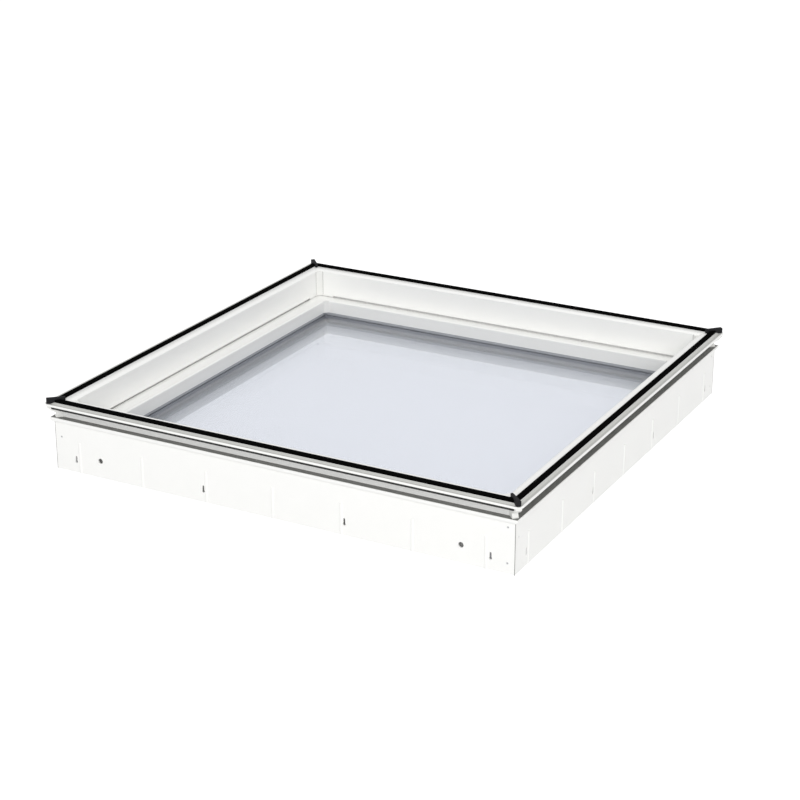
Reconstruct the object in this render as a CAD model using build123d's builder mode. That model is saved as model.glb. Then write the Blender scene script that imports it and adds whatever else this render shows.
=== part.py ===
from build123d import *
import os

os.makedirs("parts", exist_ok=True)

# Fixed square skylight for a flat roof, in millimetres.
# A name ending in HALF is a distance from the middle plane of the square to a face.
# A name ending in Z is a height above the roof surface.

# Plan size: half the width over the skirt
SKIRT_HALF = 508.0

# Outer faces of the frame profile, each set from the one before it
PROFILE_WALL = 3.0
LIP_REACH = 7.0
LIP_WALL = 1.5
LIP_EDGE = 0.7
LIP_TOP_Z = 112.0
LIP_FACE_HEIGHT = 3.5
FLARE_HEIGHT = 6.5
FLARE_BOW_OUT = 4.9
FLARE_BOW_UP = 2.1
NECK_SETBACK = 8.7
GUTTER_HEIGHT = 26.3
RIM_OVERHANG = 10.0
RIM_THICKNESS = 4.7
RIM_CHAMFER = 12.0
NOSE_EDGE = 1.0
NOSE_RISE = 1.7
NOSE_WIDTH = 3.0
NOSE_DROP = 0.9
VALLEY_INSET = 9.6
VALLEY_DEPTH = 2.2
VALLEY_SLOPE = 5.2

# Inner faces of the frame profile
KEY_CHAMBER_WIDTH = 16.0
SLOT_DEPTH = 6.7
JOINT_HEIGHT = 4.2
SHOULDER_WIDTH = 8.2
SHOULDER_DROP = 3.2
SHOULDER_BOW_IN = 2.9
SHOULDER_BOW_UP = 1.9
SHELF_WIDTH = 28.0
LEDGE_WIDTH = 33.0
LEDGE_Z = 19.0

# Strips and seals carried by the profile
STRIP_DEPTH = 3.7
STRIP_THICKNESS = 3.4
STRIP_CLEARANCE = 0.2
RIM_SEAL_INSET = 8.5
RIM_SEAL_THICKNESS = 2.5
RIM_SEAL_DROP = 7.7
COVER_SEAL_INSET = 0.4
COVER_SEAL_WIDTH = 10.3
COVER_SEAL_HEIGHT = 5.2
COVER_SEAL_LEAN = 0.7
COVER_SEAL_ROUND = 0.6

# Ribs, screw slots and holes of the skirt
RIB_PITCH = 150.0
RIB_END_MARGIN = 50.0
RIB_WIDTH = 7.0
RIB_PROUD = 1.6
RIB_HEIGHT = 66.0
END_SLOT_INSET = 48.5
MIDDLE_SLOT_OFFSET = 156.8
SLOT_WIDTH = 4.2
SLOT_EYE_RADIUS = 3.0
SLOT_EYE_Z = 23.6
SLOT_RISE = 12.0
ROUND_HOLE_INSET = 108.0
ROUND_HOLE_Z = 36.5
ROUND_HOLE_RADIUS = 5.5
CORNER_SCREW_INSET = 15.0
SINGLE_SCREW_Z = 71.0
PAIR_SCREW_Z = (21.0, 92.0)
SCREW_SHANK_RADIUS = 1.5
SCREW_HEAD_OVERHANG = 0.6
SCREW_HEAD_HEIGHT = 1.4
SCREW_LENGTH = 14.0
SCREW_POINT = 2.0
SCREW_SINK = 0.9
SCREW_RECESS_CLEARANCE = 0.1
SCREW_HOLE_CLEARANCE = 0.2

# Insulating glass unit and its gaskets
GLASS_CLEARANCE = 6.0
GLASS_ARRIS = 0.5
OUTER_PANE = 4.0
CAVITY = 15.0
INNER_PANE = 7.0
SEALANT_WIDTH = 8.0
SPACER_WIDTH = 8.0
BEDDING_HEIGHT = 5.0
BEDDING_INSET = 2.5
BEDDING_WIDTH = 15.0
GASKET_HEIGHT = 7.5
GASKET_RECESS = 0.8
GASKET_WIDTH = 13.0
GASKET_UNDERCUT = 1.2
GASKET_LIP_HEIGHT = 2.4
BLOCK_LENGTH = 80.0
BLOCK_INSET = 122.0
BLOCK_HEIGHT = 24.0
BLOCK_CLEARANCE = 0.3

# Glazing bead
BEAD_SETBACK = 9.0
BEAD_TOP_WIDTH = 7.0
BEAD_STEP_INSET = 3.0
BEAD_STEP_HEIGHT = 4.5
BEAD_BACK_GAP = 5.5
BEAD_BACK_HEIGHT = 16.8
BEAD_RISE = 7.2
BEAD_NOSE = 3.5
BEAD_NOSE_RISE = 1.0
BEAD_LINE_WIDTH = 1.1
BEAD_LINE_DEPTH = 1.2
BEAD_LINE_DRAFT = 0.2
BEAD_LINE_LIP = 0.4
BEAD_WALL = 2.0

# Corner pieces
INNER_CHAMFER = 12.0
INNER_WING = 40.0
INNER_CLEARANCE = 0.3
WING_LIFT = 0.9
HIDDEN_EDGE = 1.0
BEAD_CHAMFER = 9.0
BEAD_CORNER_DROP = 0.5
KEY_LEG = 70.0
KEY_CLEARANCE = 0.3
BRACKET_WIDTH = 12.0
BRACKET_FOOT_REACH = 10.2
BRACKET_FOOT_HEIGHT = 1.8
BRACKET_POST_REACH = 6.6
BRACKET_POST_HEIGHT = 8.8
BRACKET_HEAD_INSET = 1.5
BRACKET_HEAD_DROP = 4.6
BRACKET_KNEE_INSET = 7.8
BRACKET_KNEE_DROP = 6.5
FIN_INNER_REACH = 8.5
FIN_HOOK_WIDTH = 7.6
FIN_PROUD = 4.3
FIN_INNER_WIDTH = 5.0
FIN_OUTER_WIDTH = 9.0
FIN_EDGE = 0.8

# Faces worked out from the sizes above, from the skirt outwards
LIP_HALF = SKIRT_HALF + LIP_REACH
STRIP_OUTER_HALF = LIP_HALF - LIP_WALL
RIM_HALF = LIP_HALF + RIM_OVERHANG
NOSE_TOP_HALF = RIM_HALF - NOSE_WIDTH
VALLEY_HALF = RIM_HALF - VALLEY_INSET
SEAT_HALF = VALLEY_HALF - VALLEY_SLOPE
RIM_SEAL_HALF = RIM_HALF - RIM_SEAL_INSET
COVER_SEAL_HALF = SEAT_HALF - COVER_SEAL_INSET
COVER_SEAL_INNER_HALF = COVER_SEAL_HALF - COVER_SEAL_WIDTH
FIN_INNER_HALF = COVER_SEAL_INNER_HALF - FIN_INNER_REACH
FIN_OUTER_HALF = SEAT_HALF + FIN_HOOK_WIDTH

# Faces from the skirt inwards
NECK_HALF = SKIRT_HALF - NECK_SETBACK
KEY_CHAMBER_HALF = SKIRT_HALF - PROFILE_WALL - KEY_CHAMBER_WIDTH
SLOT_HALF = KEY_CHAMBER_HALF - PROFILE_WALL
WALL_HALF = SLOT_HALF - SLOT_DEPTH
RIM_INNER_HALF = WALL_HALF + SHOULDER_WIDTH
REBATE_HALF = SLOT_HALF - SHELF_WIDTH
REVEAL_HALF = REBATE_HALF - LEDGE_WIDTH
GLASS_HALF = REBATE_HALF - GLASS_CLEARANCE
SPACER_OUTER_HALF = GLASS_HALF - SEALANT_WIDTH
SPACER_HALF = SPACER_OUTER_HALF - SPACER_WIDTH
BEDDING_INNER_HALF = REVEAL_HALF + BEDDING_INSET
BEAD_BACK_HALF = SLOT_HALF - BEAD_BACK_GAP
BEAD_FACE_HALF = REVEAL_HALF + BEAD_SETBACK
BEAD_BROW_HALF = BEAD_FACE_HALF + BEAD_TOP_WIDTH
BEAD_STEP_HALF = REBATE_HALF - BEAD_STEP_INSET

# Places along one side of the skirt
END_SLOT_OFFSET = SKIRT_HALF - END_SLOT_INSET
SLOT_OFFSETS = (-END_SLOT_OFFSET, -MIDDLE_SLOT_OFFSET, MIDDLE_SLOT_OFFSET, END_SLOT_OFFSET)
ROUND_HOLE_OFFSET = SKIRT_HALF - ROUND_HOLE_INSET
CORNER_SCREW_OFFSET = SKIRT_HALF - CORNER_SCREW_INSET
BLOCK_OFFSET = GLASS_HALF - BLOCK_INSET
RIBS_EACH_WAY = int((SKIRT_HALF - RIB_END_MARGIN) / RIB_PITCH)
SCREW_HEAD_RADIUS = SCREW_SHANK_RADIUS + SCREW_HEAD_OVERHANG

# Heights of the lip, strips and rim
LIP_FACE_Z = LIP_TOP_Z - LIP_FACE_HEIGHT
LIP_FOOT_Z = LIP_FACE_Z - FLARE_HEIGHT
STRIP_FLOOR_Z = LIP_TOP_Z - STRIP_DEPTH
STRIP_TOP_Z = STRIP_FLOOR_Z + STRIP_THICKNESS
RIM_UNDER_Z = LIP_TOP_Z + GUTTER_HEIGHT
RIM_TOP_Z = RIM_UNDER_Z + RIM_THICKNESS
VALLEY_Z = RIM_TOP_Z - VALLEY_DEPTH
WALL_TOP_Z = RIM_TOP_Z - SHOULDER_DROP
COVER_SEAL_TOP_Z = RIM_TOP_Z + COVER_SEAL_HEIGHT

# Heights of the glass, bead and inner corners
INNER_PANE_Z = LEDGE_Z + BEDDING_HEIGHT
CAVITY_Z = INNER_PANE_Z + INNER_PANE
OUTER_PANE_Z = CAVITY_Z + CAVITY
GLASS_TOP_Z = OUTER_PANE_Z + OUTER_PANE
BEAD_FOOT_Z = GLASS_TOP_Z + GASKET_HEIGHT
SHELF_Z = BEAD_FOOT_Z + BEAD_STEP_HEIGHT
BEAD_BACK_Z = SHELF_Z + BEAD_BACK_HEIGHT
BEAD_BROW_Z = BEAD_BACK_Z + BEAD_RISE
BEAD_TOP_Z = BEAD_BROW_Z + BEAD_NOSE_RISE
BEAD_SLOPE = BEAD_RISE / (BEAD_BACK_HALF - BEAD_BROW_HALF)
WALL_FOOT_Z = BEAD_BACK_Z + JOINT_HEIGHT
WEDGE_RUN = BEAD_BACK_HALF - WALL_HALF + INNER_CHAMFER / 2
INNER_FOOT_Z = BEAD_BACK_Z + BEAD_SLOPE * WEDGE_RUN + INNER_CLEARANCE

# The four sides in order round the square, with the turn from the front side.
SIDES = {"front": 0, "right": 90, "back": 180, "left": 270}
# The four corners, with the turn from the corner between the front and right sides.
CORNERS = {"front_right": 0, "back_right": 90, "back_left": 180, "front_left": 270}

# Section plane of the front side: its first axis points out of the frame and its second up.
SECTION_END = RIM_HALF + RIM_OVERHANG
SECTION = Plane(origin=(SECTION_END, 0, 0), x_dir=(0, -1, 0), z_dir=(-1, 0, 0))
# Mitre planes of the front side, with their normals into the side.
MITRES = (Plane(origin=(0, 0, 0), z_dir=(-1, -1, 0)), Plane(origin=(0, 0, 0), z_dir=(1, -1, 0)))
# Upright plane through the front right corner: its first axis points out along the diagonal.
DIAGONAL = Plane(origin=(0, 0, 0), x_dir=(1, -1, 0), z_dir=(-1, -1, 0))
# Distance along a diagonal for each unit of distance from a middle plane.
DIAGONAL_RUN = 2**0.5
# Face of the front skirt, drawn with X along the side and Z up.
SKIRT_FACE = Plane.XZ.offset(SKIRT_HALF)


def turned(piece, angle):
    """Return the piece turned about the vertical axis of the square."""
    return Rot(0, 0, angle) * piece


def write(piece, name):
    """Label a finished piece and write it to its own file."""
    piece.label = name
    export_step(piece, f"parts/{name}.step")


def mitred(section, gap=0.0):
    """Return the front length of a section, cut at both ends beside the mitre planes."""
    with BuildPart() as length:
        extrude(section, amount=2 * SECTION_END)
        for mitre in MITRES:
            split(bisect_by=mitre.offset(gap / 2), keep=Keep.TOP)
    return length.part


def frame_section():
    """Hollow section of the frame: skirt, lip, neck, rim, inner wall, shelf and glass ledge."""
    with BuildSketch(SECTION) as section:
        with BuildLine():
            Polyline((REVEAL_HALF, 0), (SKIRT_HALF, 0), (SKIRT_HALF, LIP_FOOT_Z))
            ThreePointArc(
                (SKIRT_HALF, LIP_FOOT_Z),
                (SKIRT_HALF + FLARE_BOW_OUT, LIP_FOOT_Z + FLARE_BOW_UP),
                (LIP_HALF, LIP_FACE_Z),
            )
            Polyline(
                (LIP_HALF, LIP_FACE_Z),
                (LIP_HALF, LIP_TOP_Z - LIP_EDGE),
                (LIP_HALF - LIP_EDGE, LIP_TOP_Z),
                (STRIP_OUTER_HALF, LIP_TOP_Z),
                (STRIP_OUTER_HALF, STRIP_FLOOR_Z),
                (NECK_HALF, STRIP_FLOOR_Z),
                (NECK_HALF, RIM_UNDER_Z),
                (RIM_HALF - NOSE_EDGE, RIM_UNDER_Z),
            )
            ThreePointArc(
                (RIM_HALF - NOSE_EDGE, RIM_UNDER_Z),
                (RIM_HALF, RIM_UNDER_Z + NOSE_RISE),
                (NOSE_TOP_HALF, RIM_TOP_Z - NOSE_DROP),
            )
            Polyline(
                (NOSE_TOP_HALF, RIM_TOP_Z - NOSE_DROP),
                (VALLEY_HALF, VALLEY_Z),
                (SEAT_HALF, RIM_TOP_Z),
                (RIM_INNER_HALF, RIM_TOP_Z),
            )
            ThreePointArc(
                (RIM_INNER_HALF, RIM_TOP_Z),
                (WALL_HALF + SHOULDER_BOW_IN, WALL_TOP_Z + SHOULDER_BOW_UP),
                (WALL_HALF, WALL_TOP_Z),
            )
            Polyline(
                (WALL_HALF, WALL_TOP_Z),
                (WALL_HALF, WALL_FOOT_Z),
                (SLOT_HALF, WALL_FOOT_Z),
                (SLOT_HALF, SHELF_Z),
                (REBATE_HALF, SHELF_Z),
                (REBATE_HALF, LEDGE_Z),
                (REVEAL_HALF, LEDGE_Z),
                (REVEAL_HALF, 0),
            )
        make_face()
        chamber(REVEAL_HALF + PROFILE_WALL, REBATE_HALF, PROFILE_WALL, LEDGE_Z - PROFILE_WALL)
        chamber(
            REBATE_HALF + PROFILE_WALL,
            SLOT_HALF,
            PROFILE_WALL,
            SHELF_Z - PROFILE_WALL,
        )
        chamber(
            KEY_CHAMBER_HALF,
            SKIRT_HALF - PROFILE_WALL,
            PROFILE_WALL,
            STRIP_FLOOR_Z - PROFILE_WALL,
        )
        chamber(
            WALL_HALF + PROFILE_WALL,
            KEY_CHAMBER_HALF,
            WALL_FOOT_Z + PROFILE_WALL,
            STRIP_FLOOR_Z - PROFILE_WALL,
        )
        chamber(
            WALL_HALF + PROFILE_WALL,
            NECK_HALF - PROFILE_WALL,
            STRIP_FLOOR_Z,
            WALL_TOP_Z - PROFILE_WALL,
        )
    return section.sketch


def chamber(inner, outer, foot, top):
    """Cut one rectangular chamber out of the section that is being drawn."""
    with Locations(((inner + outer) / 2, (foot + top) / 2)):
        Rectangle(outer - inner, top - foot, mode=Mode.SUBTRACT)


def block_section(inner, outer, foot, top):
    """Plain rectangular section between two faces and two heights."""
    with BuildSketch(SECTION) as section:
        with Locations(((inner + outer) / 2, (foot + top) / 2)):
            Rectangle(outer - inner, top - foot)
    return section.sketch


def screw_places():
    """Places of one side's screws on the skirt face: one at the left end and two at the right."""
    return [(-CORNER_SCREW_OFFSET, SINGLE_SCREW_Z)] + [(CORNER_SCREW_OFFSET, z) for z in PAIR_SCREW_Z]


def frame_length(blank, side):
    """One mitred length of the frame with its ribs, screw slots, screw holes and round holes."""
    slot_length = SLOT_RISE + SLOT_WIDTH / 2
    slot_middle = SLOT_EYE_Z + SLOT_RISE - slot_length / 2
    with BuildPart() as length:
        add(blank)
        with BuildSketch(Plane.XY):
            for step in range(-RIBS_EACH_WAY, RIBS_EACH_WAY + 1):
                left = (step * RIB_PITCH - RIB_WIDTH / 2, -SKIRT_HALF)
                right = (step * RIB_PITCH + RIB_WIDTH / 2, -SKIRT_HALF)
                crown = (step * RIB_PITCH, -SKIRT_HALF - RIB_PROUD)
                with BuildLine():
                    ThreePointArc(left, crown, right)
                    Line(right, left)
                make_face()
        extrude(amount=RIB_HEIGHT)
        with BuildSketch(SKIRT_FACE):
            with Locations(*[(x, SLOT_EYE_Z) for x in SLOT_OFFSETS]):
                Circle(SLOT_EYE_RADIUS)
            with Locations(*[(x, slot_middle) for x in SLOT_OFFSETS]):
                SlotOverall(slot_length, SLOT_WIDTH, rotation=90)
            if side == "front":
                with Locations((-ROUND_HOLE_OFFSET, ROUND_HOLE_Z), (ROUND_HOLE_OFFSET, ROUND_HOLE_Z)):
                    Circle(ROUND_HOLE_RADIUS)
            with Locations(*screw_places()):
                Circle(SCREW_SHANK_RADIUS + SCREW_HOLE_CLEARANCE)
        extrude(amount=-PROFILE_WALL, mode=Mode.SUBTRACT)
        with BuildSketch(SKIRT_FACE):
            with Locations(*screw_places()):
                Circle(SCREW_HEAD_RADIUS + SCREW_RECESS_CLEARANCE)
        extrude(amount=-SCREW_SINK - SCREW_HEAD_HEIGHT, mode=Mode.SUBTRACT)
        with BuildSketch(Plane.XY.offset(RIM_UNDER_Z)):
            with Locations((-RIM_HALF, -RIM_HALF), (RIM_HALF, -RIM_HALF)):
                Rectangle(RIM_CHAMFER * DIAGONAL_RUN, RIM_CHAMFER * DIAGONAL_RUN, rotation=45)
        extrude(amount=RIM_TOP_Z - RIM_UNDER_Z, mode=Mode.SUBTRACT)
    return turned(length.part, SIDES[side])


def bead_section():
    """Hollow section of the glazing bead: sloping top, fine line, rounded nose and upright face."""
    with BuildSketch(SECTION) as section:
        with BuildLine():
            Polyline(
                (BEAD_FACE_HALF, BEAD_TOP_Z - BEAD_NOSE),
                (BEAD_FACE_HALF, BEAD_FOOT_Z),
                (BEAD_STEP_HALF, BEAD_FOOT_Z),
                (BEAD_STEP_HALF, SHELF_Z),
                (BEAD_BACK_HALF, SHELF_Z),
                (BEAD_BACK_HALF, BEAD_BACK_Z),
                (BEAD_BROW_HALF, BEAD_BROW_Z),
                (BEAD_BROW_HALF - BEAD_LINE_DRAFT, BEAD_BROW_Z - BEAD_LINE_DEPTH),
                (BEAD_BROW_HALF - BEAD_LINE_WIDTH, BEAD_BROW_Z - BEAD_LINE_DEPTH),
                (BEAD_BROW_HALF - BEAD_LINE_WIDTH - BEAD_LINE_DRAFT, BEAD_BROW_Z + BEAD_LINE_LIP),
                (BEAD_FACE_HALF + BEAD_NOSE, BEAD_TOP_Z),
            )
            TangentArc(
                (BEAD_FACE_HALF + BEAD_NOSE, BEAD_TOP_Z),
                (BEAD_FACE_HALF, BEAD_TOP_Z - BEAD_NOSE),
                tangent=(-1, 0),
            )
        make_face()
        with BuildLine():
            inner = BEAD_FACE_HALF + BEAD_WALL
            outer = BEAD_BACK_HALF - BEAD_WALL
            step = BEAD_STEP_HALF - BEAD_WALL
            inner_top = BEAD_BROW_Z - BEAD_LINE_DEPTH - BEAD_WALL
            outer_top = BEAD_BACK_Z + BEAD_WALL * BEAD_SLOPE - BEAD_WALL
            Polyline(
                (inner, BEAD_FOOT_Z + BEAD_WALL),
                (step, BEAD_FOOT_Z + BEAD_WALL),
                (step, SHELF_Z + BEAD_WALL),
                (outer, SHELF_Z + BEAD_WALL),
                (outer, outer_top),
                (BEAD_BROW_HALF, inner_top),
                (inner, inner_top),
                (inner, BEAD_FOOT_Z + BEAD_WALL),
            )
        make_face(mode=Mode.SUBTRACT)
    return section.sketch


def cover_seal_section():
    """Solid rubber section that the cover's edge would press on, with rounded shoulders."""
    with BuildSketch(SECTION) as section:
        with BuildLine():
            Polyline(
                (COVER_SEAL_INNER_HALF, RIM_TOP_Z),
                (COVER_SEAL_HALF, RIM_TOP_Z),
                (COVER_SEAL_HALF - COVER_SEAL_LEAN, COVER_SEAL_TOP_Z),
                (COVER_SEAL_INNER_HALF, COVER_SEAL_TOP_Z),
                (COVER_SEAL_INNER_HALF, RIM_TOP_Z),
            )
        make_face()
        fillet(section.vertices().group_by(Axis.Y)[-1], COVER_SEAL_ROUND)
    return section.sketch


def glazing_gasket_section():
    """Wedge gasket between the outer pane and the bead's foot."""
    inner = BEAD_FACE_HALF + GASKET_RECESS
    with BuildSketch(SECTION) as section:
        with BuildLine():
            Polyline(
                (inner + GASKET_UNDERCUT, GLASS_TOP_Z),
                (inner + GASKET_WIDTH, GLASS_TOP_Z),
                (inner + GASKET_WIDTH, BEAD_FOOT_Z),
                (inner, BEAD_FOOT_Z),
                (inner, GLASS_TOP_Z + GASKET_LIP_HEIGHT),
                (inner + GASKET_UNDERCUT, GLASS_TOP_Z),
            )
        make_face()
    return section.sketch


def pane(foot, thickness):
    """Square sheet of glass with fine arrised edges."""
    with BuildPart() as sheet:
        with BuildSketch(Plane.XY.offset(foot)):
            Rectangle(2 * GLASS_HALF, 2 * GLASS_HALF)
        extrude(amount=thickness)
        chamfer(sheet.faces().filter_by(Axis.Z).edges(), GLASS_ARRIS)
    return sheet.part


def square_ring(inner, outer, foot, top):
    """Square ring between two faces and two heights."""
    with BuildPart() as ring:
        with BuildSketch(Plane.XY.offset(foot)):
            Rectangle(2 * outer, 2 * outer)
            Rectangle(2 * inner, 2 * inner, mode=Mode.SUBTRACT)
        extrude(amount=top - foot)
    return ring.part


def setting_blocks():
    """Two blocks on each side between the glass edge and the rebate."""
    inner = GLASS_HALF + BLOCK_CLEARANCE
    middle = (inner + REBATE_HALF) / 2
    with BuildPart() as blocks:
        with BuildSketch(Plane.XY.offset(LEDGE_Z)):
            for angle in SIDES.values():
                for x in (-BLOCK_OFFSET, BLOCK_OFFSET):
                    place = Rot(0, 0, angle) * Pos(x, -middle)
                    with Locations(place):
                        Rectangle(BLOCK_LENGTH, REBATE_HALF - inner)
        extrude(amount=BLOCK_HEIGHT)
    return blocks.part


def one_screw():
    """Screw with a flat head at the origin and its shank along -Z."""
    with BuildPart() as screw:
        with BuildSketch(Plane.XZ):
            with BuildLine():
                Polyline(
                    (0, 0),
                    (SCREW_HEAD_RADIUS, 0),
                    (SCREW_HEAD_RADIUS, -SCREW_HEAD_HEIGHT),
                    (SCREW_SHANK_RADIUS, -SCREW_HEAD_HEIGHT),
                    (SCREW_SHANK_RADIUS, -SCREW_LENGTH + SCREW_POINT),
                    (0, -SCREW_LENGTH),
                    close=True,
                )
            make_face()
        revolve(axis=Axis.Z)
    return screw.part


def corner_screws():
    """Three screws of each side, sunk in the skirt and running into the corner keys."""
    screw = one_screw()
    head = -SKIRT_HALF + SCREW_SINK
    placed = []
    for angle in SIDES.values():
        for x, z in screw_places():
            placed.append(turned(Location((x, head, z), (90, 0, 0)) * screw, angle))
    with BuildPart() as screws:
        add(placed)
    return screws.part


def corner_key():
    """L-shaped key in the outer chamber of two lengths, bored for the three screws."""
    inner = KEY_CHAMBER_HALF + KEY_CLEARANCE
    outer = SKIRT_HALF - PROFILE_WALL - KEY_CLEARANCE
    foot = PROFILE_WALL
    top = STRIP_FLOOR_Z - PROFILE_WALL - KEY_CLEARANCE
    bore = SCREW_LENGTH + SCREW_SINK
    with BuildPart() as key:
        with BuildSketch(Plane.XY.offset(foot)):
            with Locations((outer - KEY_LEG / 2, -(outer + inner) / 2)):
                Rectangle(KEY_LEG, outer - inner)
            with Locations(((outer + inner) / 2, -outer + KEY_LEG / 2)):
                Rectangle(outer - inner, KEY_LEG)
        extrude(amount=top - foot)
        with BuildSketch(SKIRT_FACE):
            with Locations(*[(CORNER_SCREW_OFFSET, z) for z in PAIR_SCREW_Z]):
                Circle(SCREW_SHANK_RADIUS)
        extrude(amount=-bore, mode=Mode.SUBTRACT)
        with BuildSketch(Plane.YZ.offset(SKIRT_HALF)):
            with Locations((-CORNER_SCREW_OFFSET, SINGLE_SCREW_Z)):
                Circle(SCREW_SHANK_RADIUS)
        extrude(amount=-bore, mode=Mode.SUBTRACT)
    return key.part


def corner_wedge(face, width, foot, top, overlap=0.0):
    """Upright wedge in an inside corner of two faces, showing one chamfered face."""
    reach = face + overlap
    leg = width + 2 * overlap
    with BuildPart() as wedge:
        with BuildSketch(Plane.XY.offset(foot)):
            with BuildLine():
                Polyline((reach, -reach), (reach, -reach + leg), (reach - leg, -reach), close=True)
            make_face()
        extrude(amount=top - foot)
    return wedge.part


def inner_corner():
    """Moulding that chamfers the inner wall's corner and closes the slot's ends."""
    inner = WALL_HALF
    outer = SLOT_HALF - INNER_CLEARANCE
    end = WALL_HALF - INNER_WING
    wedge = corner_wedge(WALL_HALF, INNER_CHAMFER, INNER_FOOT_Z, WALL_TOP_Z)
    with BuildPart() as piece:
        add(wedge)
        with BuildSketch(Plane.XY.offset(BEAD_BACK_Z + WING_LIFT)):
            with BuildLine():
                Polyline(
                    (inner, -inner),
                    (inner, -end),
                    (outer, -end),
                    (outer, -outer + HIDDEN_EDGE),
                    (outer - HIDDEN_EDGE, -outer),
                    (end, -outer),
                    (end, -inner),
                    close=True,
                )
            make_face()
        extrude(amount=JOINT_HEIGHT - WING_LIFT)
    return piece.part


def bead_corner(bead):
    """Moulding that chamfers the glazing bead's inside corner and follows its rounded nose."""
    overlap = BEAD_NOSE / 2
    top = BEAD_TOP_Z - BEAD_CORNER_DROP
    wedge = corner_wedge(BEAD_FACE_HALF, BEAD_CHAMFER, BEAD_FOOT_Z, top, overlap)
    with BuildPart() as piece:
        add(wedge)
        add(bead, mode=Mode.SUBTRACT)
        add(turned(bead, SIDES["right"]), mode=Mode.SUBTRACT)
    return piece.part


def neck_corner():
    """Moulded bracket on the neck's corner: foot over the strips, post, and head under the rim."""
    neck = NECK_HALF * DIAGONAL_RUN
    root = neck - BRACKET_WIDTH / 2
    foot = neck + BRACKET_FOOT_REACH
    post = neck + BRACKET_POST_REACH
    head = (RIM_HALF - RIM_CHAMFER / 2) * DIAGONAL_RUN - BRACKET_HEAD_INSET
    head_foot = RIM_UNDER_Z - BRACKET_HEAD_DROP
    with BuildPart() as bracket:
        with BuildSketch(DIAGONAL):
            with BuildLine():
                Polyline(
                    (root, STRIP_TOP_Z),
                    (foot, STRIP_TOP_Z),
                    (foot, STRIP_TOP_Z + BRACKET_FOOT_HEIGHT),
                    (post, STRIP_TOP_Z + BRACKET_POST_HEIGHT),
                    (head - BRACKET_KNEE_INSET, head_foot - BRACKET_KNEE_DROP),
                    (head, head_foot),
                    (head, RIM_UNDER_Z),
                    (root, RIM_UNDER_Z),
                    close=True,
                )
            make_face()
        extrude(amount=BRACKET_WIDTH / 2, both=True)
        with BuildSketch(Plane.XY.offset(STRIP_TOP_Z)):
            Rectangle(2 * NECK_HALF, 2 * NECK_HALF)
        extrude(amount=RIM_UNDER_Z - STRIP_TOP_Z, mode=Mode.SUBTRACT)
    return bracket.part


def seal_corner(blank):
    """Rubber fin on the corner's diagonal, between the seals' ends and hooked over the rim."""
    inner = FIN_INNER_HALF * DIAGONAL_RUN
    outer = FIN_OUTER_HALF * DIAGONAL_RUN
    with BuildPart() as fin:
        with BuildSketch(Plane(origin=(0, 0, VALLEY_Z), x_dir=(1, -1, 0), z_dir=(0, 0, 1))):
            with BuildLine():
                Polyline(
                    (inner, -FIN_INNER_WIDTH / 2),
                    (outer, -FIN_OUTER_WIDTH / 2),
                    (outer, FIN_OUTER_WIDTH / 2),
                    (inner, FIN_INNER_WIDTH / 2),
                    close=True,
                )
            make_face()
        extrude(amount=COVER_SEAL_TOP_Z + FIN_PROUD - VALLEY_Z)
        chamfer(fin.faces().sort_by(Axis.Z)[-1].edges(), FIN_EDGE)
        add(blank, mode=Mode.SUBTRACT)
        add(turned(blank, SIDES["right"]), mode=Mode.SUBTRACT)
    return fin.part


def cover_seal(fin):
    """Length of cover seal whose ends butt against the fins of its two corners."""
    length = mitred(cover_seal_section())
    with BuildPart() as seal:
        add(length)
        add(fin, mode=Mode.SUBTRACT)
        add(turned(fin, CORNERS["front_left"]), mode=Mode.SUBTRACT)
    return seal.part


strip = block_section(
    NECK_HALF + STRIP_CLEARANCE,
    STRIP_OUTER_HALF - STRIP_CLEARANCE,
    STRIP_FLOOR_Z,
    STRIP_TOP_Z,
)
rim_seal = block_section(
    RIM_SEAL_HALF - RIM_SEAL_THICKNESS,
    RIM_SEAL_HALF,
    RIM_UNDER_Z - RIM_SEAL_DROP,
    RIM_UNDER_Z,
)
frame_blank = mitred(frame_section())
bead = mitred(bead_section())
fin = seal_corner(frame_blank)
side_pieces = {
    "groove_strip": mitred(strip),
    "rim_seal": mitred(rim_seal, BRACKET_WIDTH),
    "glazing_bead": bead,
    "glazing_gasket": mitred(glazing_gasket_section()),
    "cover_seal": cover_seal(fin),
}
corner_pieces = {
    "corner_key": corner_key(),
    "inner_corner": inner_corner(),
    "bead_corner": bead_corner(bead),
    "neck_corner": neck_corner(),
    "seal_corner": fin,
}

for side, angle in SIDES.items():
    write(frame_length(frame_blank, side), f"frame_{side}")
    for kind, piece in side_pieces.items():
        write(turned(piece, angle), f"{kind}_{side}")

for corner, angle in CORNERS.items():
    for kind, piece in corner_pieces.items():
        write(turned(piece, angle), f"{kind}_{corner}")

bedding_outer = BEDDING_INNER_HALF + BEDDING_WIDTH
write(square_ring(BEDDING_INNER_HALF, bedding_outer, LEDGE_Z, INNER_PANE_Z), "bedding_gasket")
write(pane(INNER_PANE_Z, INNER_PANE), "inner_pane")
write(square_ring(SPACER_HALF, SPACER_OUTER_HALF, CAVITY_Z, OUTER_PANE_Z), "spacer_frame")
write(square_ring(SPACER_OUTER_HALF, GLASS_HALF, CAVITY_Z, OUTER_PANE_Z), "edge_seal")
write(pane(OUTER_PANE_Z, OUTER_PANE), "outer_pane")
write(setting_blocks(), "setting_blocks")
write(corner_screws(), "corner_screws")
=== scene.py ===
"""Looks of a fixed flat-roof skylight base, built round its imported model."""

import logging
import math
from dataclasses import dataclass
from enum import Enum
from typing import Any

import bmesh
import bpy
from mathutils import Matrix, Vector


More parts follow.
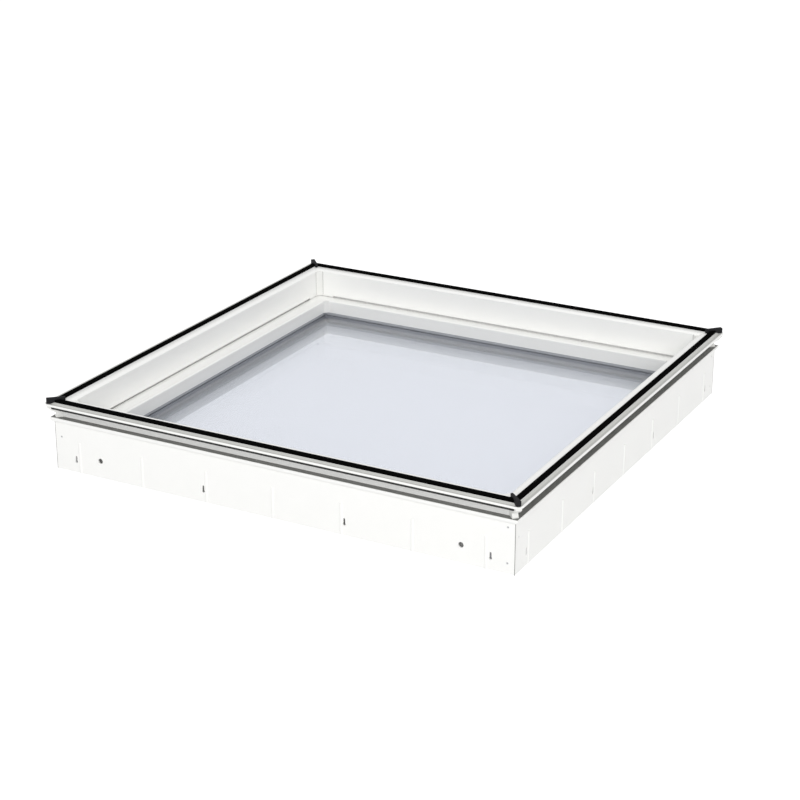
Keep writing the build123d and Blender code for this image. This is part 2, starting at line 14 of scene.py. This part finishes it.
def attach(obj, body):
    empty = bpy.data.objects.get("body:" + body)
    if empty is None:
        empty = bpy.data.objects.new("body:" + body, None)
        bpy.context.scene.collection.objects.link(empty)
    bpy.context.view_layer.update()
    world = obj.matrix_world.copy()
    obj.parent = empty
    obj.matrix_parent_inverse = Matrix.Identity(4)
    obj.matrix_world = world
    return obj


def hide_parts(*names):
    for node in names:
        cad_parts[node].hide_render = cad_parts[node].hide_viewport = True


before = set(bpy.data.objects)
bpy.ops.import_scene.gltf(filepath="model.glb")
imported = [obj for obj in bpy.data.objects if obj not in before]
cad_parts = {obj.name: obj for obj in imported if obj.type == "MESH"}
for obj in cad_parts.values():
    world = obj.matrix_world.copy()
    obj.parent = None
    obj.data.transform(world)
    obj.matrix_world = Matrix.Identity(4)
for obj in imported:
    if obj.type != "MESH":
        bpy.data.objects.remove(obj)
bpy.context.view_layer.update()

LOG = logging.getLogger("roof_skylight")
MM = 0.001
PHOTO_PIXELS = 800
SENSOR_MM = 36.0
UPRIGHT = "Z"
SRGB_KNEE = 0.04045
SRGB_FOOT_SLOPE = 12.92
SRGB_OFFSET = 0.055
SRGB_POWER = 2.4
# Sockets of a Mix node that mixes colours, which share their names with its other types.
MIX_FACTOR, MIX_FIRST, MIX_SECOND, MIX_RESULT = 0, 6, 7, 2
EDGE_SEGMENTS = 2
EDGE_SHARPER_THAN_DEGREES = 40.0


class Side(Enum):
    """A side of the square, with its turn in degrees from the front."""

    FRONT = 0
    RIGHT = 90
    BACK = 180
    LEFT = 270

    @property
    def word(self) -> str:
        """Name of the side as the nodes have it."""
        return self.name.lower()

    @property
    def run(self) -> "Run":
        """Direction in which this side's lengths run."""
        return Run.X if self in (Side.FRONT, Side.BACK) else Run.Y


class Corner(Enum):
    """A corner of the square, with its turn in degrees from the front right."""

    FRONT_RIGHT = 0
    BACK_RIGHT = 90
    BACK_LEFT = 180
    FRONT_LEFT = 270

    @property
    def word(self) -> str:
        """Name of the corner as the nodes have it."""
        return self.name.lower()


class Run(Enum):
    """Direction along which an extruded length was pushed through its die."""

    X = 0
    Y = 1


def linear(code: str) -> tuple[float, float, float, float]:
    """Turn an sRGB hex colour into linear values.

    Args:
        code: colour as six hex digits after a hash sign.

    Returns:
        Linear red, green and blue, with an alpha of one.
    """
    channels = []
    for start in (1, 3, 5):
        value = int(code[start:start + 2], 16) / 255
        if value <= SRGB_KNEE:
            channels.append(value / SRGB_FOOT_SLOPE)
        else:
            channels.append(((value + SRGB_OFFSET) / (1 + SRGB_OFFSET)) ** SRGB_POWER)
    return (channels[0], channels[1], channels[2], 1.0)


def per_metre(size_mm: float) -> float:
    """Texture scale at which one cell of a pattern is this many millimetres wide."""
    return 1.0 / (size_mm * MM)


def put(
    tree: bpy.types.NodeTree,
    kind: str,
    settings: dict[Any, Any] | None = None,
    links: dict[Any, bpy.types.NodeSocket] | None = None,
) -> bpy.types.Node:
    """Add one node with its settings and links.

    Args:
        tree: node tree that takes the node.
        kind: type name of the node.
        settings: values by the node's attribute, or by the name or number of an input.
        links: output sockets by the name or number of the input that they feed.

    Returns:
        The new node.
    """
    node = tree.nodes.new(kind)
    for key, value in (settings or {}).items():
        if isinstance(key, str) and hasattr(node, key):
            setattr(node, key, value)
        else:
            node.inputs[key].default_value = value
    for key, socket in (links or {}).items():
        tree.links.new(socket, node.inputs[key])
    return node


def empty_material(name: str) -> bpy.types.Material:
    """Make a material with an empty node tree.

    Args:
        name: name of the material.

    Returns:
        The new material.
    """
    material = bpy.data.materials.new(name)
    material.use_nodes = True
    material.node_tree.nodes.clear()
    return material


def object_place(tree: bpy.types.NodeTree) -> bpy.types.NodeSocket:
    """Place on the object, in metres."""
    return put(tree, "ShaderNodeTexCoord").outputs["Object"]


def noise(
    tree: bpy.types.NodeTree, place: bpy.types.NodeSocket, scale: float, detail: float
) -> bpy.types.NodeSocket:
    """Add a noise pattern.

    Args:
        tree: node tree that takes the node.
        place: place at which the pattern is read.
        scale: cells of the pattern per unit of the place.
        detail: number of finer layers.

    Returns:
        The pattern as a value between zero and one.
    """
    settings = {"Scale": scale, "Detail": detail}
    return put(tree, "ShaderNodeTexNoise", settings, {"Vector": place}).outputs["Fac"]


def relief(
    tree: bpy.types.NodeTree, height: bpy.types.NodeSocket, depth_mm: float
) -> bpy.types.NodeSocket:
    """Turn a pattern into a shallow relief.

    Args:
        tree: node tree that takes the node.
        height: pattern that gives the height.
        depth_mm: depth of the relief in millimetres.

    Returns:
        The bumped normal.
    """
    settings = {"Strength": 1.0, "Distance": depth_mm * MM}
    return put(tree, "ShaderNodeBump", settings, {"Height": height}).outputs["Normal"]


def two_tones(
    tree: bpy.types.NodeTree, pattern: bpy.types.NodeSocket, colour: str, shade: str
) -> bpy.types.NodeSocket:
    """Mix two close tones by a pattern.

    Args:
        tree: node tree that takes the node.
        pattern: value between zero and one.
        colour: tone at zero, as an sRGB hex colour.
        shade: tone at one, as an sRGB hex colour.

    Returns:
        The mixed colour.
    """
    settings = {"data_type": "RGBA", MIX_FIRST: linear(colour), MIX_SECOND: linear(shade)}
    return put(tree, "ShaderNodeMix", settings, {MIX_FACTOR: pattern}).outputs[MIX_RESULT]


def uneven_gloss(
    tree: bpy.types.NodeTree, pattern: bpy.types.NodeSocket, roughness: float, spread: float
) -> bpy.types.NodeSocket:
    """Let a pattern vary the roughness round its middle value.

    Args:
        tree: node tree that takes the node.
        pattern: value between zero and one.
        roughness: roughness in the middle.
        spread: largest difference from the middle.

    Returns:
        The varied roughness.
    """
    settings = {"To Min": roughness - spread, "To Max": roughness + spread}
    return put(tree, "ShaderNodeMapRange", settings, {"Value": pattern}).outputs["Result"]


def to_surface(tree: bpy.types.NodeTree, shader: bpy.types.NodeSocket) -> None:
    """Send a shader to the material's output."""
    put(tree, "ShaderNodeOutputMaterial", links={"Surface": shader})


@dataclass(frozen=True)
class ExtrudedPvc:
    """Rigid PVC pushed through a die: satin white, with faint lines along its length."""

    name: str = "extruded_rigid_pvc"
    colour: str = "#FAFAF8"
    shade: str = "#F7F7F5"
    roughness: float = 0.34
    roughness_spread: float = 0.06
    ior: float = 1.53
    die_line_mm: float = 1.6
    die_line_length_mm: float = 420.0
    die_line_depth_mm: float = 0.012
    mottle_mm: float = 55.0
    gutter_colour: str = "#CACAC6"
    gutter_mm: tuple[float, float] | None = None
    gutter_foot_mm: float = 140.4
    gutter_blur_mm: float = 0.5

    def material(self, run: Run) -> bpy.types.Material:
        """Build the finish for lengths that run in one direction.

        Args:
            run: direction of the length, which the die lines follow.

        Returns:
            The new material.
        """
        material = empty_material(f"{self.name}_{run.name.lower()}")
        tree = material.node_tree
        place = object_place(tree)
        across = per_metre(self.die_line_mm)
        scale = [across, across, across]
        scale[run.value] = per_metre(self.die_line_length_mm)
        # The die's wear draws lines that catch the light at a low angle.
        stretched = put(tree, "ShaderNodeMapping", {"Scale": scale}, {"Vector": place})
        lines = noise(tree, stretched.outputs["Vector"], 1.0, 2.0)
        # Uneven cooling leaves soft patches of more and less gloss.
        mottle = noise(tree, place, per_metre(self.mottle_mm), 3.0)
        colour = two_tones(tree, mottle, self.colour, self.shade)
        if self.gutter_mm:
            colour = self.gutter(tree, place, run, colour)
        shader = put(
            tree,
            "ShaderNodeBsdfPrincipled",
            {"IOR": self.ior},
            {
                "Base Color": colour,
                "Roughness": uneven_gloss(tree, mottle, self.roughness, self.roughness_spread),
                "Normal": relief(tree, lines, self.die_line_depth_mm),
            },
        )
        to_surface(tree, shader.outputs["BSDF"])
        return material

    def gutter(
        self,
        tree: bpy.types.NodeTree,
        place: bpy.types.NodeSocket,
        run: Run,
        colour: bpy.types.NodeSocket,
    ) -> bpy.types.NodeSocket:
        """Colour the rim's shallow outer gutter.

        It is painted greyer there than the rest of the white profile.

        Args:
            tree: node tree of the finish.
            place: place on the object, in metres.
            run: direction of the length.
            colour: colour of the white profile.

        Returns:
            Colour with the gutter's band mixed in.
        """
        axes = put(tree, "ShaderNodeSeparateXYZ", links={"Vector": place})
        out = put(
            tree,
            "ShaderNodeMath",
            {"operation": "ABSOLUTE"},
            {0: axes.outputs[1 - run.value]},
        )
        edges = (
            (out.outputs[0], self.gutter_mm[0], 1),
            (out.outputs[0], self.gutter_mm[1], -1),
            (axes.outputs["Z"], self.gutter_foot_mm, 1),
        )
        band = None
        for value, edge, way in edges:
            step = put(
                tree,
                "ShaderNodeMapRange",
                {
                    "From Min": (edge - way * self.gutter_blur_mm) * MM,
                    "From Max": (edge + way * self.gutter_blur_mm) * MM,
                },
                {"Value": value},
            ).outputs["Result"]
            if band is None:
                band = step
            else:
                band = put(
                    tree, "ShaderNodeMath", {"operation": "MULTIPLY"}, {0: band, 1: step}
                ).outputs[0]
        mixed = put(
            tree,
            "ShaderNodeMix",
            {"data_type": "RGBA", MIX_SECOND: linear(self.gutter_colour)},
            {MIX_FACTOR: band, MIX_FIRST: colour},
        )
        return mixed.outputs[MIX_RESULT]


@dataclass(frozen=True)
class MouldedSurface:
    """Plastic, rubber or sealant with a fine grain from its mould or its cure."""

    name: str
    colour: str
    shade: str
    roughness: float
    ior: float
    grain_mm: float
    grain_depth_mm: float
    patch_mm: float
    specular: float = 0.5

    def material(self) -> bpy.types.Material:
        """Build the finish as a grained surface with soft patches of two tones.

        Returns:
            The new material.
        """
        material = empty_material(self.name)
        tree = material.node_tree
        place = object_place(tree)
        # The grain breaks up the highlight, so the surface looks matt and not painted.
        grain = noise(tree, place, per_metre(self.grain_mm), 2.0)
        patch = noise(tree, place, per_metre(self.patch_mm), 3.0)
        shader = put(
            tree,
            "ShaderNodeBsdfPrincipled",
            {
                "IOR": self.ior,
                "Roughness": self.roughness,
                "Specular IOR Level": self.specular,
            },
            {
                "Base Color": two_tones(tree, patch, self.colour, self.shade),
                "Normal": relief(tree, grain, self.grain_depth_mm),
            },
        )
        to_surface(tree, shader.outputs["BSDF"])
        return material


@dataclass(frozen=True)
class FloatGlass:
    """Float glass: flat, clear and a little blue-grey, and it lets light through to the room."""

    name: str
    tint: str
    shade: str = "#F4F5F7"
    ior: float = 1.52

    def material(self) -> bpy.types.Material:
        """Build clear glass whose shadow is a tint and not black.

        Returns:
            The new material.
        """
        material = empty_material(self.name)
        tree = material.node_tree
        glass = put(
            tree,
            "ShaderNodeBsdfPrincipled",
            {
                "Base Color": linear(self.tint),
                "Roughness": 0.0,
                "IOR": self.ior,
                "Transmission Weight": 1.0,
            },
        )
        clear = put(tree, "ShaderNodeBsdfTransparent", {"Color": linear(self.shade)})
        rays = put(tree, "ShaderNodeLightPath")
        # Light on its way to the floor and the reveal passes straight through the pane.
        soft = put(
            tree,
            "ShaderNodeMath",
            {"operation": "MAXIMUM"},
            {0: rays.outputs["Is Shadow Ray"], 1: rays.outputs["Is Diffuse Ray"]},
        )
        both = put(
            tree,
            "ShaderNodeMixShader",
            links={0: soft.outputs[0], 1: glass.outputs["BSDF"], 2: clear.outputs["BSDF"]},
        )
        to_surface(tree, both.outputs["Shader"])
        return material


@dataclass(frozen=True)
class RolledMetal:
    """Bare metal with the fine uneven grain that rolling or plating leaves."""

    name: str
    colour: str
    roughness: float
    grain_mm: float
    grain_depth_mm: float
    roughness_spread: float = 0.08

    def material(self) -> bpy.types.Material:
        """Build the metal with an uneven roughness and a shallow bump.

        Returns:
            The new material.
        """
        material = empty_material(self.name)
        tree = material.node_tree
        # The grain spreads the reflection, so that the metal looks dull and not polished.
        grain = noise(tree, object_place(tree), per_metre(self.grain_mm), 4.0)
        shader = put(
            tree,
            "ShaderNodeBsdfPrincipled",
            {"Base Color": linear(self.colour), "Metallic": 1.0},
            {
                "Roughness": uneven_gloss(tree, grain, self.roughness, self.roughness_spread),
                "Normal": relief(tree, grain, self.grain_depth_mm),
            },
        )
        to_surface(tree, shader.outputs["BSDF"])
        return material


def dress(node: str, material: bpy.types.Material) -> None:
    """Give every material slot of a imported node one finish."""
    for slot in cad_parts[node].material_slots:
        slot.material = material


def ease_edges(node: str, width_mm: float) -> None:
    """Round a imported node's sharp edges a little, so that they catch the light.

    Args:
        node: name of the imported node.
        width_mm: width of the rounding in millimetres.
    """
    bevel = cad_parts[node].modifiers.new("eased_edges", "BEVEL")
    bevel.width = width_mm * MM
    bevel.segments = EDGE_SEGMENTS
    bevel.limit_method = "ANGLE"
    bevel.angle_limit = math.radians(EDGE_SHARPER_THAN_DEGREES)


def add_object(name: str, mesh: bmesh.types.BMesh) -> bpy.types.Object:
    """Turn a bmesh into an object of the scene.

    Args:
        name: name of the object and of its mesh.
        mesh: geometry in metres; it is freed here.

    Returns:
        The new object.
    """
    data = bpy.data.meshes.new(name)
    mesh.to_mesh(data)
    mesh.free()
    added = bpy.data.objects.new(name, data)
    bpy.context.scene.collection.objects.link(added)
    return added


def ring_of(
    mesh: bmesh.types.BMesh, points: list[Vector], place: Matrix | None = None
) -> list[bmesh.types.BMVert]:
    """Add one ring of vertices.

    Args:
        mesh: mesh that takes the vertices.
        points: places in millimetres, in order round the ring.
        place: matrix that takes the places, in metres, to where they belong.

    Returns:
        The new vertices.
    """
    if place is None:
        place = Matrix.Identity(4)
    return [mesh.verts.new(place @ (point * MM)) for point in points]


def new_piece(
    name: str, mesh: bmesh.types.BMesh, material: bpy.types.Material
) -> bpy.types.Object:
    """Turn a bmesh into a piece that rides on the skylight.

    Args:
        name: name of the piece.
        mesh: geometry in metres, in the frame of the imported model; it is freed here.
        material: finish of the whole piece.

    Returns:
        The new object.
    """
    piece = add_object(name, mesh)
    piece.data.materials.append(material)
    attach(piece, "root")
    return piece


@dataclass
class KerbFrame:
    """Four mitred lengths of hollow white profile."""

    edge_mm: float = 0.4
    finish: ExtrudedPvc = ExtrudedPvc(gutter_mm=(510.6, 521.6))

    def build(self) -> None:
        """Dress the four lengths and ease their edges."""
        for side in Side:
            node = f"frame_{side.word}"
            dress(node, self.finish.material(side.run))
            ease_edges(node, self.edge_mm)
            LOG.info("%s: extruded white profile", node)


@dataclass(frozen=True)
class SeamLine:
    """One upright line near a corner: its place beyond the middle planes and its two heights."""

    name: str
    x_mm: float
    y_mm: float
    foot_mm: float
    top_mm: float
    radius_mm: float


@dataclass
class CornerSeams:
    """Upright joint lines at the corners, where lengths and mouldings meet."""

    lines: tuple[SeamLine, ...] = (
        SeamLine("skirt_seam", x_mm=507.7, y_mm=507.7, foot_mm=0.0, top_mm=102.0, radius_mm=0.6),
        SeamLine(
            "moulding_seam_front",
            x_mm=467.3,
            y_mm=479.3,
            foot_mm=83.0,
            top_mm=139.8,
            radius_mm=0.35,
        ),
        SeamLine(
            "moulding_seam_side",
            x_mm=479.3,
            y_mm=467.3,
            foot_mm=83.0,
            top_mm=139.8,
            radius_mm=0.35,
        ),
    )
    steps: int = 8
    finish: MouldedSurface = MouldedSurface(
        "weld_seam_pvc", "#70706D", "#7A7A77", 0.5, 1.53, 0.8, 0.01, 12.0
    )

    def build(self) -> None:
        """Build a slim rounded bead for every line at every corner."""
        material = self.finish.material()
        for line in self.lines:
            for corner in Corner:
                mesh = self.bead(line)
                mesh.transform(Matrix.Rotation(math.radians(corner.value), 4, UPRIGHT))
                new_piece(f"{line.name}_{corner.word}", mesh, material)
            LOG.info("%s: upright line at four corners", line.name)

    def bead(self, line: SeamLine) -> bmesh.types.BMesh:
        """Make the slim upright cylinder of one line at the front right corner.

        Args:
            line: the line's place and size.

        Returns:
            Closed mesh in metres.
        """
        mesh = bmesh.new()
        rings = []
        for height in (line.foot_mm, line.top_mm):
            points = []
            for step in range(self.steps):
                angle = 2 * math.pi * step / self.steps
                x = line.x_mm + line.radius_mm * math.cos(angle)
                y = -line.y_mm + line.radius_mm * math.sin(angle)
                points.append(Vector((x, y, height)))
            rings.append(ring_of(mesh, points))
        foot, top = rings
        for step in range(self.steps):
            after = (step + 1) % self.steps
            mesh.faces.new((foot[step], foot[after], top[after], top[step]))
        mesh.faces.new(list(reversed(foot)))
        mesh.faces.new(top)
        return mesh


@dataclass
class Seals:
    """Strips, seals and gaskets in the frame, on its rim and at the glass."""

    fin_edge_mm: float = 0.4
    strip: MouldedSurface = MouldedSurface(
        "soft_pvc_strip", "#757572", "#6C6C69", 0.5, 1.5, 0.8, 0.02, 30.0
    )
    rim: MouldedSurface = MouldedSurface(
        "epdm_rubber_rim", "#3A3A3A", "#323232", 0.7, 1.5, 0.7, 0.02, 25.0, 0.15
    )
    cover: MouldedSurface = MouldedSurface(
        "epdm_rubber_cover_seal", "#060606", "#0A0A0A", 0.9, 1.5, 0.7, 0.02, 25.0, 0.005
    )
    fin: MouldedSurface = MouldedSurface(
        "moulded_rubber_corner", "#242426", "#1C1C1E", 0.7, 1.5, 0.6, 0.02, 18.0, 0.15
    )
    gasket: MouldedSurface = MouldedSurface(
        "extruded_glazing_gasket", "#B0B2B6", "#A8AAAE", 0.6, 1.5, 0.7, 0.02, 25.0
    )

    def build(self) -> None:
        """Dress every strip, seal and gasket."""
        strip, rim, cover, gasket = (
            finish.material() for finish in (self.strip, self.rim, self.cover, self.gasket)
        )
        for side in Side:
            dress(f"groove_strip_{side.word}", strip)
            dress(f"rim_seal_{side.word}", rim)
            dress(f"cover_seal_{side.word}", cover)
            dress(f"glazing_gasket_{side.word}", gasket)
            LOG.info("strips and seals of the %s side", side.word)
        dress("bedding_gasket", gasket)
        fin = self.fin.material()
        for corner in Corner:
            dress(f"seal_corner_{corner.word}", fin)
            ease_edges(f"seal_corner_{corner.word}", self.fin_edge_mm)
            LOG.info("seal_corner_%s: moulded rubber fin", corner.word)


@dataclass
class GlazingBeads:
    """Four glazing beads with sloping tops."""

    edge_mm: float = 0.3
    finish: ExtrudedPvc = ExtrudedPvc(
        name="extruded_bead_pvc", colour="#F8F8F6", shade="#F5F5F2", roughness=0.3
    )

    def build(self) -> None:
        """Dress the beads and ease their edges."""
        for side in Side:
            node = f"glazing_bead_{side.word}"
            dress(node, self.finish.material(side.run))
            ease_edges(node, self.edge_mm)
            LOG.info("%s: extruded white bead", node)


@dataclass
class CornerMouldings:
    """White mouldings in and round the corners, and the hidden keys."""

    edge_mm: float = 0.4
    white: MouldedSurface = MouldedSurface(
        "moulded_white_abs", "#F3F3F0", "#EFEFEC", 0.4, 1.53, 0.9, 0.012, 30.0
    )
    key: MouldedSurface = MouldedSurface(
        "glass_filled_polyamide", "#77777A", "#6E6E71", 0.55, 1.53, 0.8, 0.03, 20.0
    )

    def build(self) -> None:
        """Dress the mouldings of all four corners."""
        white, key = self.white.material(), self.key.material()
        for corner in Corner:
            for kind in ("inner_corner", "bead_corner", "neck_corner"):
                dress(f"{kind}_{corner.word}", white)
                ease_edges(f"{kind}_{corner.word}", self.edge_mm)
            dress(f"corner_key_{corner.word}", key)
            LOG.info("mouldings of the %s corner", corner.word)


@dataclass
class GlassUnit:
    """Two panes with their spacer, edge sealant and setting blocks."""

    outer: FloatGlass = FloatGlass("clear_float_glass", "#F5F6F9")
    inner: FloatGlass = FloatGlass("laminated_float_glass", "#F1F3F7")
    spacer: RolledMetal = RolledMetal("roll_formed_aluminium", "#A4A5A8", 0.5, 0.9, 0.01)
    sealant: MouldedSurface = MouldedSurface(
        "cured_edge_sealant", "#4A4C50", "#414347", 0.55, 1.5, 1.2, 0.03, 20.0
    )
    block: MouldedSurface = MouldedSurface(
        "moulded_polyamide_block", "#5A6068", "#525860", 0.5, 1.53, 0.9, 0.02, 20.0
    )

    def build(self) -> None:
        """Dress the panes and what holds them apart and in place."""
        dress("outer_pane", self.outer.material())
        dress("inner_pane", self.inner.material())
        dress("spacer_frame", self.spacer.material())
        dress("edge_seal", self.sealant.material())
        dress("setting_blocks", self.block.material())
        LOG.info("insulating glass unit: panes, spacer, sealant and blocks")


@dataclass
class CornerScrews:
    """Twelve sunk screws with low domed heads and cross recesses, three on each side."""

    face_mm: float = 507.1
    offset_mm: float = 493.0
    single_mm: float = 71.0
    pair_mm: tuple[float, float] = (21.0, 92.0)
    head_radius_mm: float = 2.1
    head_height_mm: float = 1.4
    shank_radius_mm: float = 1.5
    shank_mm: float = 12.6
    arm_width_mm: float = 0.62
    arm_reach_mm: float = 1.25
    recess_mm: float = 0.7
    recess_rise: float = 0.5
    dome_mm: float = 0.12
    rings: int = 10
    steps: int = 40
    finish: RolledMetal = RolledMetal("zinc_plated_steel", "#BFC0C2", 0.34, 0.5, 0.01)

    def depth(self, x: float, y: float) -> float:
        """Depth of the head's face below its rim line at one place.

        Args:
            x: distance from the head's axis along one arm, in millimetres.
            y: distance along the other arm, in millimetres.

        Returns:
            Depth in millimetres, which is negative on the dome.
        """
        radius = math.hypot(x, y)
        dome = self.dome_mm * (1 - (radius / self.head_radius_mm) ** 2)
        in_arm = min(abs(x), abs(y)) < self.arm_width_mm / 2 and radius < self.arm_reach_mm
        if not in_arm:
            return -dome
        return self.recess_mm * (1 - self.recess_rise * radius / self.arm_reach_mm)

    def add_screw(self, mesh: bmesh.types.BMesh, place: Matrix) -> None:
        """Add one screw to the mesh.

        Args:
            mesh: mesh that takes the screw.
            place: matrix from the screw's own frame, head along +Z, to its hole.
        """
        # Rings on the head's face have no height of their own: the recess and dome give it.
        outline: list[tuple[float, float | None]] = [
            (self.head_radius_mm * ring / self.rings, None) for ring in range(1, self.rings + 1)
        ]
        outline += [
            (self.head_radius_mm, -self.head_height_mm),
            (self.shank_radius_mm, -self.head_height_mm),
            (self.shank_radius_mm, -self.shank_mm),
        ]
        centre = ring_of(mesh, [Vector((0, 0, -self.depth(0, 0)))], place)[0]
        before: list[bmesh.types.BMVert] = []
        for radius, height in outline:
            points = []
            for step in range(self.steps):
                angle = 2 * math.pi * step / self.steps
                x, y = radius * math.cos(angle), radius * math.sin(angle)
                points.append(Vector((x, y, -self.depth(x, y) if height is None else height)))
            ring = ring_of(mesh, points, place)
            for step in range(self.steps):
                after = (step + 1) % self.steps
                if before:
                    mesh.faces.new((before[step], ring[step], ring[after], before[after]))
                else:
                    mesh.faces.new((centre, ring[step], ring[after]))
            before = ring
        mesh.faces.new(list(reversed(before)))

    def build(self) -> None:
        """Build all the screws as one piece in place of the plain ones."""
        mesh = bmesh.new()
        spots = [(-self.offset_mm, self.single_mm)] + [(self.offset_mm, z) for z in self.pair_mm]
        for side in Side:
            turn = Matrix.Rotation(math.radians(side.value), 4, UPRIGHT)
            for x, z in spots:
                shift = Matrix.Translation(Vector((x, -self.face_mm, z)) * MM)
                self.add_screw(mesh, turn @ shift @ Matrix.Rotation(math.radians(90), 4, "X"))
        piece = new_piece("skirt_screws", mesh, self.finish.material())
        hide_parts("corner_screws")
        LOG.info("skirt_screws: twelve cross-recessed screws")


@dataclass
class Studio:
    """Pale floor, soft lights and a pale surround."""

    floor_m: float = 30.0
    floor_colour: str = "#E6E6E6"
    floor_glow: float = 0.5
    floor_drop_mm: float = 0.1
    world_level: float = 0.84
    key_place_m: tuple[float, float, float] = (4.2, -7.9, 4.5)
    key_size_m: float = 5.0
    key_watts: float = 400.0
    top_place_m: tuple[float, float, float] = (0.4, 1.0, 4.5)
    top_size_m: float = 3.0
    top_watts: float = 24.0

    def seen(self, tree: bpy.types.NodeTree) -> bpy.types.NodeSocket:
        """Tell whether the surround is seen and not felt as light.

        It is seen straight, or by way of glass or gloss.

        Args:
            tree: node tree that takes the nodes.

        Returns:
            One for such a view and zero for light that falls on the object.
        """
        rays = put(tree, "ShaderNodeLightPath")
        view = rays.outputs["Is Camera Ray"]
        for kind in ("Is Transmission Ray", "Is Glossy Ray"):
            view = put(
                tree, "ShaderNodeMath", {"operation": "MAXIMUM"}, {0: view, 1: rays.outputs[kind]}
            ).outputs[0]
        return view

    def floor(self) -> None:
        """Lay the floor, which shows as white and keeps a soft shadow."""
        mesh = bmesh.new()
        bmesh.ops.create_grid(mesh, x_segments=1, y_segments=1, size=self.floor_m / 2)
        floor = add_object("studio_floor", mesh)
        floor.location.z = -self.floor_drop_mm * MM
        material = empty_material("painted_floor")
        tree = material.node_tree
        paint = put(tree, "ShaderNodeBsdfDiffuse", {"Color": linear(self.floor_colour)})
        glow = put(tree, "ShaderNodeEmission", {"Strength": self.floor_glow})
        dark = put(tree, "ShaderNodeEmission", {"Strength": 0.0})
        shown = put(
            tree,
            "ShaderNodeMixShader",
            links={0: self.seen(tree), 1: dark.outputs[0], 2: glow.outputs[0]},
        )
        total = put(tree, "ShaderNodeAddShader", links={0: paint.outputs[0], 1: shown.outputs[0]})
        to_surface(tree, total.outputs[0])
        floor.data.materials.append(material)

    def world(self) -> None:
        """Surround the object with an even pale light that shows as white."""
        world = bpy.data.worlds.new("studio_surround")
        bpy.context.scene.world = world
        world.use_nodes = True
        tree = world.node_tree
        tree.nodes.clear()
        strength = put(
            tree,
            "ShaderNodeMapRange",
            {"To Min": self.world_level, "To Max": 1.0},
            {"Value": self.seen(tree)},
        )
        light = put(tree, "ShaderNodeBackground", links={"Strength": strength.outputs["Result"]})
        put(tree, "ShaderNodeOutputWorld", links={"Surface": light.outputs["Background"]})

    def lamp(
        self, name: str, place: tuple[float, float, float], size_m: float, watts: float
    ) -> None:
        """Hang one square soft lamp that looks at the skylight.

        Args:
            name: name of the lamp.
            place: place of the lamp in metres.
            size_m: width of its face in metres.
            watts: power of the lamp.
        """
        data = bpy.data.lights.new(name, "AREA")
        data.size = size_m
        data.energy = watts
        lamp = bpy.data.objects.new(name, data)
        lamp.location = place
        lamp.rotation_euler = (-Vector(place)).to_track_quat("-Z", "Y").to_euler()
        bpy.context.scene.collection.objects.link(lamp)

    def build(self) -> None:
        """Set up the floor, the surround and the lamps."""
        self.floor()
        self.world()
        self.lamp("key_softbox", self.key_place_m, self.key_size_m, self.key_watts)
        self.lamp("top_softbox", self.top_place_m, self.top_size_m, self.top_watts)
        LOG.info("studio: floor, surround and two soft lamps")


@dataclass
class PhotoCamera:
    """Camera at the photograph's place and angle."""

    place_m: tuple[float, float, float] = (1.8515, -3.4278, 1.6095)
    focal_pixels: float = 1997.7
    yaw_degrees: float = 28.367
    pitch_degrees: float = 21.619

    def build(self) -> None:
        """Place the camera and make it the scene's."""
        data = bpy.data.cameras.new("photo_camera")
        data.sensor_width = SENSOR_MM
        data.lens = self.focal_pixels * SENSOR_MM / PHOTO_PIXELS
        camera = bpy.data.objects.new("photo_camera", data)
        camera.location = self.place_m
        tilt = math.radians(90 - self.pitch_degrees)
        camera.rotation_euler = (tilt, 0, math.radians(self.yaw_degrees))
        bpy.context.scene.collection.objects.link(camera)
        bpy.context.scene.camera = camera
        LOG.info("camera: %.1f mm lens", data.lens)


def main() -> None:
    """Build every sub-assembly, then the studio and the camera."""
    logging.basicConfig(level=logging.INFO, format="%(name)s: %(message)s")
    bpy.context.scene.view_settings.view_transform = "Standard"
    PhotoCamera().build()
    Studio().build()
    parts = (
        KerbFrame, CornerSeams, Seals, GlazingBeads, CornerMouldings, GlassUnit, CornerScrews
    )
    for part in parts:
        part().build()


if __name__ == "__main__":
    main()
